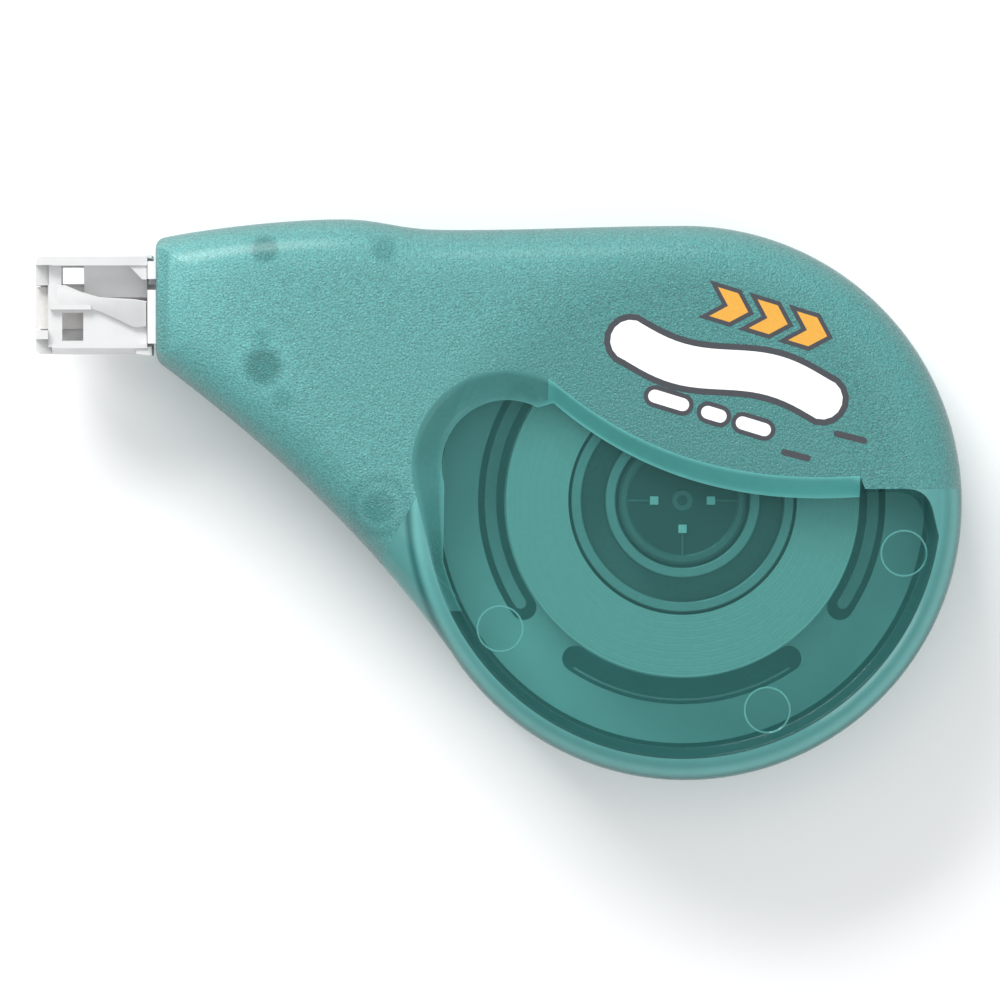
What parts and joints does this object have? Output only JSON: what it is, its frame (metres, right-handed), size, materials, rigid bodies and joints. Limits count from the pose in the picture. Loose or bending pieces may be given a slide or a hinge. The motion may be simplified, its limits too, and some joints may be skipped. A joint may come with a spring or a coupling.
{
  "type": "correction tape dispenser",
  "caption": "Pear-shaped translucent hand-held dispenser that lays correction tape from a coaxial supply reel through a white pressing head and winds up the used film.",
  "frame": {"origin": "on the reels' axis, at the flat back face the case rests on", "axes": "+X along the case from the head to the round reel end, +Y to the long straight side, +Z out of the back through the reel window"},
  "size_m": [0.0925, 0.0559, 0.0168],
  "materials": {
    "case_teal": "translucent teal, fine frosted grain on the grip and brow, polished over the reel window",
    "reel_natural": "satin natural-colour moulding",
    "core_grey": "satin grey moulding",
    "cap_smoke": "satin dark grey moulding",
    "head_white": "satin white moulding",
    "neck_milky": "milky translucent moulding with a faint lilac cast",
    "tape_white": "matt white coated tape",
    "film_clear": "thin translucent backing film",
    "clutch_rubber": "matt black rubber"
  },
  "bodies": {
    "case": {"front_shell": "case_teal", "back_shell": "case_teal", "applicator_head": "head_white", "neck_sleeve": "neck_milky", "bearing_cap": "cap_smoke", "fresh_tape_run": "tape_white", "used_film_run": "film_clear"},
    "supply": {"supply_core": "core_grey", "supply_tape": "tape_white"},
    "takeup": {"takeup_reel": "reel_natural", "takeup_film": "film_clear", "clutch_ring": "clutch_rubber"}
  },
  "joints": [
    {"name": "supply_spin", "type": "hinge", "parent": "case", "child": "supply", "pos_m": [0, 0, 0.0102], "axis": [0, 0, 1], "continuous": true},
    {"name": "takeup_spin", "type": "hinge", "parent": "case", "child": "takeup", "pos_m": [0, 0, 0.0046], "axis": [0, 0, 1], "continuous": true}
  ],
  "couplings": [
    {"joint": "takeup_spin", "follows": "supply_spin", "ratio": 0.7788}
  ]
}
